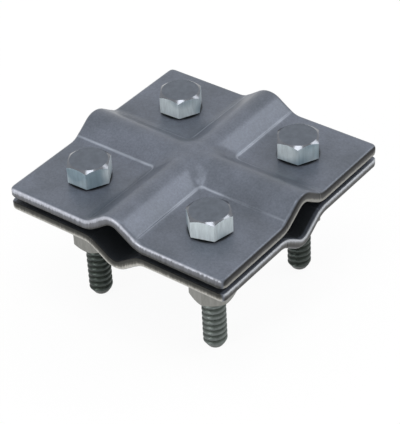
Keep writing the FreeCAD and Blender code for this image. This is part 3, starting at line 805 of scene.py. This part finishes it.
class CLAMP_OT_bolts(bpy.types.Operator):
    """Build the four hexagon bolts."""
    bl_idname = "clamp.bolts"
    bl_label = "Bolts"

    def execute(self, context):
        sizes = context.scene.clamp_fasteners
        head_level = UPPER_HIGH.z - context.scene.clamp_plate.rise
        # Bright bluish zinc on trimmed steel: the die leaves fine marks along the sides of a head, whose
        # pale tone is a painted highlight
        material = zinc_material("Zinc on bolt heads with painted highlight", sizes.lit_side_colour, 0.3, STREAK_WIDTH,
                                 metallic=0.25, drawn=0.2, film=sizes.film_colour)
        # Darker zinc on the forged crown, a painted shade
        crown = zinc_material("Zinc on forged crowns with painted shade", sizes.shaded_top_colour, 0.17, CROWN_MOTTLE)
        # Turned chamfers are less blue and painted darker as shade, and smooth enough to flash white where
        # they face the light
        chamfer = zinc_material("Zinc on turned chamfers with painted shade", sizes.shaded_chamfer_colour, 0.17, CROWN_MOTTLE)
        # Zinc on rolled threads, dull, with painted shade darkening the grooves between the crests
        groove = (sizes.pitch, sizes.diameter / 2, sizes.depth)
        plain_threads = zinc_material("Zinc on rolled threads with painted shade in the grooves", sizes.thread_colour, 0.42, THREAD_MOTTLE, tone=0.2,
                            groove=(*groove, sizes.groove_shade_colour))
        # Threads painted darker all over, as shade
        shaded_threads = zinc_material("Darker zinc on rolled threads, painted shade", sizes.shaded_thread_colour, 0.38, THREAD_MOTTLE,
                             tone=0.2, groove=(*groove, sizes.shaded_groove_colour))
        # Painted shade keeps the recess under a head dark
        recess_shade = shade_material("Painted shade under the bolt heads", sizes.recess_shade_colour)
        tree = bolt_tree(block_tree())
        for station, (head_turn, _, in_shade) in STATIONS.items():
            x, y = station_place(station)
            piece = grow("hexagon_bolt_" + station, tree, {
                "Radius": sizes.diameter / 2, "Depth": sizes.depth, "Lead": sizes.lead,
                "Length": head_level - BOLT_LOW.z, "Tip": sizes.tip, "Head Width": sizes.head_width,
                "Head Height": BOLT_HIGH.z - head_level, "Inset": sizes.crown, "Chamfer": sizes.chamfer,
                "Bearing": sizes.bearing, "Place": (x, y, head_level),
                "Turn": (0.0, 0.0, math.radians(head_turn)), "Material": material})
            point_outwards(piece.data)
            piece.data.materials.clear()
            for finish in (material, shaded_threads if in_shade else plain_threads, recess_shade, crown, chamfer):
                piece.data.materials.append(finish)
            for face in piece.data.polygons:
                if face.center.z < head_level - TINY:
                    face.material_index = 1
                elif face.center.z < head_level + sizes.bearing + TINY:
                    face.material_index = 2
                elif face.normal.z > CHAMFER_UP:
                    face.material_index = 3 if face.normal.z > CROWN_UP else 4
            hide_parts("bolt_" + station)
            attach(piece, "bolt_" + station)
        return {"FINISHED"}


class CLAMP_OT_nuts(bpy.types.Operator):
    """Build the four hexagon nuts."""
    bl_idname = "clamp.nuts"
    bl_label = "Nuts"

    def execute(self, context):
        sizes = context.scene.clamp_fasteners
        # Zinc on cold-formed nuts, a little greyer and rougher than on the heads
        material = zinc_material("Zinc on nuts", sizes.nut_colour, 0.4, STREAK_WIDTH, drawn=0.2)
        tree = nut_tree(bpy.data.node_groups["Hexagon block"])
        for station, (_, nut_turn, _) in STATIONS.items():
            x, y = station_place(station)
            piece = grow("hexagon_nut_" + station, tree, {
                "Width": sizes.nut_width, "Height": NUT_HIGH.z - NUT_LOW.z, "Inset": sizes.nut_crown,
                "Chamfer": sizes.chamfer, "Bore": sizes.diameter / 2 + sizes.bore_gap,
                "Countersink": sizes.countersink, "Place": (x, y, NUT_HIGH.z),
                "Turn": (0.0, 0.0, math.radians(nut_turn)), "Material": material})
            point_outwards(piece.data)
            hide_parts("nut_" + station)
            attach(piece, "nut_" + station)
        return {"FINISHED"}


class CLAMP_OT_washers(bpy.types.Operator):
    """Build a flat and a spring washer at each bolt."""
    bl_idname = "clamp.washers"
    bl_label = "Washers"

    def execute(self, context):
        sizes = context.scene.clamp_fasteners
        # Zinc on stamped and coiled washers, satin
        material = zinc_material("Zinc on washers", sizes.washer_colour, 0.4, WASHER_MOTTLE)
        tree = washer_tree()
        kinds = (
            ("flat_washer_", sizes.washer_hole, WASHER_LOW, WASHER_HIGH, False),
            ("spring_washer_", sizes.spring_hole, SPRING_LOW, SPRING_HIGH, True),
        )
        for station in STATIONS:
            x, y = station_place(station)
            for node, inner, low, high, split in kinds:
                piece = grow("round_" + node + station, tree, {
                    "Inner Radius": inner, "Outer Radius": (high.x - low.x) / 2,
                    "Thickness": sizes.washer_sheet, "Height": high.z - low.z, "Edge": sizes.washer_edge,
                    "Split": split, "Place": (x, y, high.z), "Turn": (0.0, 0.0, 0.0), "Material": material})
                point_outwards(piece.data)
                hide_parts(node + station)
                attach(piece, "lower_plate")
        return {"FINISHED"}


# Stage

# The floor's half side, its gap below the bolts' tips, and the share of its white that takes no shadow
FLOOR_REACH = 3.0
FLOOR_GAP = 0.05 * MM
FLOOR_GLOW = 0.93


def direct_rays(tree):
    """1 for the camera's, glossy and transmission rays, and 0 for the others."""
    path = add_node(tree, "ShaderNodeLightPath").outputs
    seen = add_node(tree, "ShaderNodeMath", {
        0: path["Is Camera Ray"], 1: path["Is Glossy Ray"]}, operation="MAXIMUM")
    return add_node(tree, "ShaderNodeMath", {0: seen, 1: path["Is Transmission Ray"]}, operation="MAXIMUM")


def backdrop_material(name, colour, glow_share):
    """Painted studio floor that stays white to the camera and in the metal, and keeps a soft shadow."""
    material, tree = new_material(name)
    share = add_node(tree, "ShaderNodeMath", {0: direct_rays(tree), 1: glow_share}, operation="MULTIPLY")
    matt = add_node(tree, "ShaderNodeBsdfDiffuse", {"Color": linear(colour)})
    glow = add_node(tree, "ShaderNodeEmission", {"Color": linear(colour), "Strength": 1.0})
    shader = add_node(tree, "ShaderNodeMixShader", {0: share, 1: matt, 2: glow})
    finish_material(tree, shader)
    return material


def add_lamp(name, place, aim, size, power):
    data = bpy.data.lights.new(name, "AREA")
    data.shape = "DISK"
    data.size = size
    data.energy = power
    lamp = add_object(name, data)
    lamp.location = place
    lamp.rotation_euler = (Vector(aim) - Vector(place)).to_track_quat("-Z", "Y").to_euler()


class CLAMP_OT_stage(bpy.types.Operator):
    """Build the floor, the lamps, the world and the camera."""
    bl_idname = "clamp.stage"
    bl_label = "Stage"

    def execute(self, context):
        scene = context.scene
        stage = scene.clamp_stage
        mesh = bpy.data.meshes.new("floor")
        corners = [(FLOOR_REACH * x, FLOOR_REACH * y, 0) for x, y in ((-1, -1), (1, -1), (1, 1), (-1, 1))]
        mesh.from_pydata(corners, [], [(0, 1, 2, 3)])
        mesh.materials.append(backdrop_material("Painted white floor", stage.backdrop, FLOOR_GLOW))
        floor = add_object("floor", mesh)
        floor.location.z = -FLOOR_GAP

        centre = (0.0, 0.0, 30 * MM)
        # The right flanks mirror the softbox at the back right; the heads' chamfers mirror the one overhead
        add_lamp("back_softbox", (0.5, 0.68, 0.75), centre, 0.5, stage.back_softbox)
        add_lamp("top_softbox", (0.15, -0.19, 1.08), centre, 0.4, stage.top_softbox)
        add_lamp("front_softbox", (-0.25, -0.95, 0.35), centre, 0.4, stage.front_softbox)

        world = bpy.data.worlds.new("Studio")
        world.use_nodes = True
        tree = world.node_tree
        tree.nodes.clear()
        strength = add_node(tree, "ShaderNodeMapRange", {
            "Value": direct_rays(tree), "To Min": stage.ambient, "To Max": 1.0})
        even = add_node(tree, "ShaderNodeBackground", {
            "Color": linear(stage.backdrop), "Strength": strength})
        add_node(tree, "ShaderNodeOutputWorld", {"Surface": even})
        scene.world = world
        scene.view_settings.view_transform = "Standard"

        data = bpy.data.cameras.new("camera")
        data.lens = stage.lens
        camera = add_object("camera", data)
        back = Vector((math.sin(stage.azimuth) * math.cos(stage.elevation),
                       -math.cos(stage.azimuth) * math.cos(stage.elevation), math.sin(stage.elevation)))
        right = Vector((math.cos(stage.azimuth), math.sin(stage.azimuth), 0.0))
        up = back.cross(right)
        across = right * math.cos(stage.roll) + up * math.sin(stage.roll)
        upward = up * math.cos(stage.roll) - right * math.sin(stage.roll)
        turn = Matrix((across, upward, back)).transposed().to_4x4()
        camera.matrix_world = Matrix.Translation(Vector(stage.target) + back * stage.distance) @ turn
        scene.camera = camera
        return {"FINISHED"}


class CLAMP_PT_panel(bpy.types.Panel):
    """Lists the clamp's settings and builders."""
    bl_label = "Square clamp"
    bl_idname = "CLAMP_PT_panel"
    bl_space_type = "VIEW_3D"
    bl_region_type = "UI"
    bl_category = "Clamp"

    def draw(self, context):
        for builder in BUILDERS:
            self.layout.operator(builder.bl_idname)
        for name in SETTINGS:
            group = getattr(context.scene, name)
            box = self.layout.box()
            for key in group.bl_rna.properties.keys():
                if key not in ("rna_type", "name"):
                    box.prop(group, key)


BUILDERS = (CLAMP_OT_plates, CLAMP_OT_bolts, CLAMP_OT_nuts, CLAMP_OT_washers, CLAMP_OT_stage)
SETTINGS = {
    "clamp_plate": ClampPlateSettings,
    "clamp_fasteners": ClampFastenerSettings,
    "clamp_stage": ClampStageSettings,
}


def register():
    for item in (*SETTINGS.values(), *BUILDERS, CLAMP_PT_panel):
        bpy.utils.register_class(item)
    for name, group in SETTINGS.items():
        setattr(bpy.types.Scene, name, bpy.props.PointerProperty(type=group))


def unregister():
    for name in SETTINGS:
        delattr(bpy.types.Scene, name)
    for item in (CLAMP_PT_panel, *reversed(BUILDERS), *reversed(SETTINGS.values())):
        bpy.utils.unregister_class(item)


def main():
    register()
    bpy.ops.clamp.plates()
    bpy.ops.clamp.bolts()
    bpy.ops.clamp.nuts()
    bpy.ops.clamp.washers()
    bpy.ops.clamp.stage()


if __name__ == "__main__":
    main()
